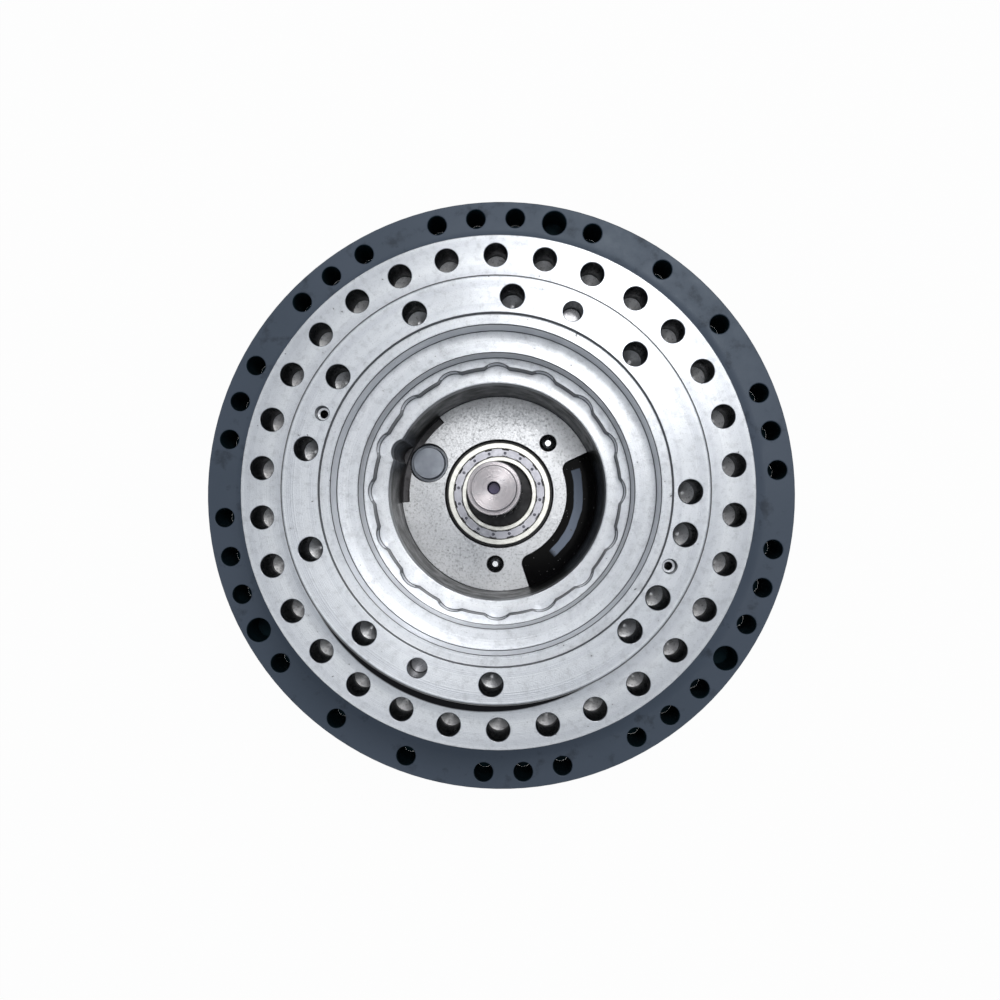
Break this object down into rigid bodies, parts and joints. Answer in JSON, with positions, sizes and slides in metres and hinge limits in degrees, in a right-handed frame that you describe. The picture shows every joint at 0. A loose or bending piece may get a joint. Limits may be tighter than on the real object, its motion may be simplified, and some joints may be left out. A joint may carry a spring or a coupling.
{
  "type": "excavator final drive",
  "caption": "Track final drive for an excavator: a fixed flanged spindle open for its travel motor, a turning hub with a sprocket flange, and a two-stage planetary gear train inside.",
  "frame": {"origin": "on the drive's axis, at the spindle's frame-mounting face", "axes": "+Z along the axis to the travel motor's side; X and Y in the mounting face"},
  "size_m": [0.6399, 0.64, 0.538],
  "materials": {
    "machined_casting": "turned and ground, satin",
    "painted_iron": "dark blue-grey paint, satin, scuffed",
    "zinc_bolt": "dull",
    "hardened_steel": "ground",
    "machined_steel": "turned",
    "carrier_iron": "cast, machined faces",
    "bronze": "bronze washers",
    "gear_steel": "hardened and ground",
    "bearing_steel": "ground",
    "cage_steel": "pressed, satin",
    "seal_iron": "lapped faces",
    "seal_rubber": "matt"
  },
  "bodies": {
    "spindle": {"spindle": "machined_casting", "upper_bearing_inner_ring": "bearing_steel", "lower_bearing_inner_ring": "bearing_steel", "bearing_nut": "machined_steel", "upper_seal_ring": "seal_iron", "upper_seal_rubber": "seal_rubber", "second_carrier": "carrier_iron", "second_planet_pins": "hardened_steel", "second_planet_washers": "bronze", "shaft_bearing_outer_ring": "bearing_steel", "shaft_oil_seal": "seal_rubber", "swash_pivots": "hardened_steel"},
    "hub": {"hub": "painted_iron", "ring_gear": "painted_iron", "cover": "painted_iron", "cover_bolts": "zinc_bolt", "cover_plugs": "zinc_bolt", "thrust_button": "hardened_steel", "upper_bearing_outer_ring": "bearing_steel", "lower_bearing_outer_ring": "bearing_steel", "lower_seal_ring": "seal_iron", "lower_seal_rubber": "seal_rubber"},
    "upper_rollers": {"upper_bearing_rollers": "bearing_steel"},
    "lower_rollers": {"lower_bearing_rollers": "bearing_steel"},
    "first_carrier": {"first_carrier": "carrier_iron", "first_planet_pins": "hardened_steel", "first_planet_washers": "bronze", "second_sun_gear": "gear_steel"},
    "motor_shaft": {"motor_shaft": "machined_steel", "shaft_bearing_inner_ring": "bearing_steel", "shaft_coupling": "machined_steel", "drive_gear": "gear_steel"},
    "shaft_rollers": {"shaft_bearing_cage": "cage_steel", "shaft_bearing_rollers": "bearing_steel"},
    "speed_piston": {"speed_piston": "hardened_steel"},
    "second_planet_1": {"second_planet_gear_1": "gear_steel"},
    "second_needles_1": {"second_planet_needles_1": "bearing_steel"},
    "second_planet_2": {"second_planet_gear_2": "gear_steel"},
    "second_needles_2": {"second_planet_needles_2": "bearing_steel"},
    "second_planet_3": {"second_planet_gear_3": "gear_steel"},
    "second_needles_3": {"second_planet_needles_3": "bearing_steel"},
    "second_planet_4": {"second_planet_gear_4": "gear_steel"},
    "second_needles_4": {"second_planet_needles_4": "bearing_steel"},
    "first_planet_1": {"first_planet_gear_1": "gear_steel"},
    "first_needles_1": {"first_planet_needles_1": "bearing_steel"},
    "first_planet_2": {"first_planet_gear_2": "gear_steel"},
    "first_needles_2": {"first_planet_needles_2": "bearing_steel"},
    "first_planet_3": {"first_planet_gear_3": "gear_steel"},
    "first_needles_3": {"first_planet_needles_3": "bearing_steel"}
  },
  "joints": [
    {"name": "hub_spin", "type": "hinge", "parent": "spindle", "child": "hub", "pos_m": [0, 0, 0], "axis": [0, 0, 1], "continuous": true},
    {"name": "upper_roller_spin", "type": "hinge", "parent": "spindle", "child": "upper_rollers", "pos_m": [0, 0, 0], "axis": [0, 0, 1], "continuous": true},
    {"name": "lower_roller_spin", "type": "hinge", "parent": "spindle", "child": "lower_rollers", "pos_m": [0, 0, 0], "axis": [0, 0, 1], "continuous": true},
    {"name": "first_carrier_spin", "type": "hinge", "parent": "spindle", "child": "first_carrier", "pos_m": [0, 0, 0], "axis": [0, 0, 1], "continuous": true},
    {"name": "motor_shaft_spin", "type": "hinge", "parent": "spindle", "child": "motor_shaft", "pos_m": [0, 0, 0], "axis": [0, 0, 1], "continuous": true},
    {"name": "shaft_roller_spin", "type": "hinge", "parent": "spindle", "child": "shaft_rollers", "pos_m": [0, 0, 0], "axis": [0, 0, 1], "continuous": true},
    {"name": "second_planet_1_spin", "type": "hinge", "parent": "spindle", "child": "second_planet_1", "pos_m": [0.12, 0, -0.274], "axis": [0, 0, 1], "continuous": true},
    {"name": "second_needles_1_spin", "type": "hinge", "parent": "spindle", "child": "second_needles_1", "pos_m": [0.12, 0, -0.274], "axis": [0, 0, 1], "continuous": true},
    {"name": "second_planet_2_spin", "type": "hinge", "parent": "spindle", "child": "second_planet_2", "pos_m": [0, 0.12, -0.274], "axis": [0, 0, 1], "continuous": true},
    {"name": "second_needles_2_spin", "type": "hinge", "parent": "spindle", "child": "second_needles_2", "pos_m": [0, 0.12, -0.274], "axis": [0, 0, 1], "continuous": true},
    {"name": "second_planet_3_spin", "type": "hinge", "parent": "spindle", "child": "second_planet_3", "pos_m": [-0.12, 0, -0.274], "axis": [0, 0, 1], "continuous": true},
    {"name": "second_needles_3_spin", "type": "hinge", "parent": "spindle", "child": "second_needles_3", "pos_m": [-0.12, 0, -0.274], "axis": [0, 0, 1], "continuous": true},
    {"name": "second_planet_4_spin", "type": "hinge", "parent": "spindle", "child": "second_planet_4", "pos_m": [0, -0.12, -0.274], "axis": [0, 0, 1], "continuous": true},
    {"name": "second_needles_4_spin", "type": "hinge", "parent": "spindle", "child": "second_needles_4", "pos_m": [0, -0.12, -0.274], "axis": [0, 0, 1], "continuous": true},
    {"name": "first_planet_1_spin", "type": "hinge", "parent": "first_carrier", "child": "first_planet_1", "pos_m": [0.117, 0, -0.366], "axis": [0, 0, 1], "continuous": true},
    {"name": "first_needles_1_spin", "type": "hinge", "parent": "first_carrier", "child": "first_needles_1", "pos_m": [0.117, 0, -0.366], "axis": [0, 0, 1], "continuous": true},
    {"name": "first_planet_2_spin", "type": "hinge", "parent": "first_carrier", "child": "first_planet_2", "pos_m": [-0.0585, 0.10132, -0.366], "axis": [0, 0, 1], "continuous": true},
    {"name": "first_needles_2_spin", "type": "hinge", "parent": "first_carrier", "child": "first_needles_2", "pos_m": [-0.0585, 0.10132, -0.366], "axis": [0, 0, 1], "continuous": true},
    {"name": "first_planet_3_spin", "type": "hinge", "parent": "first_carrier", "child": "first_planet_3", "pos_m": [-0.0585, -0.10132, -0.366], "axis": [0, 0, 1], "continuous": true},
    {"name": "first_needles_3_spin", "type": "hinge", "parent": "first_carrier", "child": "first_needles_3", "pos_m": [-0.0585, -0.10132, -0.366], "axis": [0, 0, 1], "continuous": true},
    {"name": "speed_piston_slide", "type": "slide", "parent": "spindle", "child": "speed_piston", "axis": [0, 0, 1], "range_m": [0, 0.012]}
  ],
  "couplings": [
    {"joint": "upper_roller_spin", "follows": "hub_spin", "ratio": 0.5232},
    {"joint": "lower_roller_spin", "follows": "hub_spin", "ratio": 0.5232},
    {"joint": "first_carrier_spin", "follows": "hub_spin", "ratio": -4.7143},
    {"joint": "motor_shaft_spin", "follows": "hub_spin", "ratio": -36.143},
    {"joint": "shaft_roller_spin", "follows": "hub_spin", "ratio": -16.299},
    {"joint": "second_planet_1_spin", "follows": "hub_spin", "ratio": 2.5385},
    {"joint": "second_needles_1_spin", "follows": "hub_spin", "ratio": 1.4385},
    {"joint": "second_planet_2_spin", "follows": "hub_spin", "ratio": 2.5385},
    {"joint": "second_needles_2_spin", "follows": "hub_spin", "ratio": 1.4385},
    {"joint": "second_planet_3_spin", "follows": "hub_spin", "ratio": 2.5385},
    {"joint": "second_needles_3_spin", "follows": "hub_spin", "ratio": 1.4385},
    {"joint": "second_planet_4_spin", "follows": "hub_spin", "ratio": 2.5385},
    {"joint": "second_needles_4_spin", "follows": "hub_spin", "ratio": 1.4385},
    {"joint": "first_planet_1_spin", "follows": "hub_spin", "ratio": 13.968},
    {"joint": "first_needles_1_spin", "follows": "hub_spin", "ratio": 7.9153},
    {"joint": "first_planet_2_spin", "follows": "hub_spin", "ratio": 13.968},
    {"joint": "first_needles_2_spin", "follows": "hub_spin", "ratio": 7.9153},
    {"joint": "first_planet_3_spin", "follows": "hub_spin", "ratio": 13.968},
    {"joint": "first_needles_3_spin", "follows": "hub_spin", "ratio": 7.9153}
  ]
}
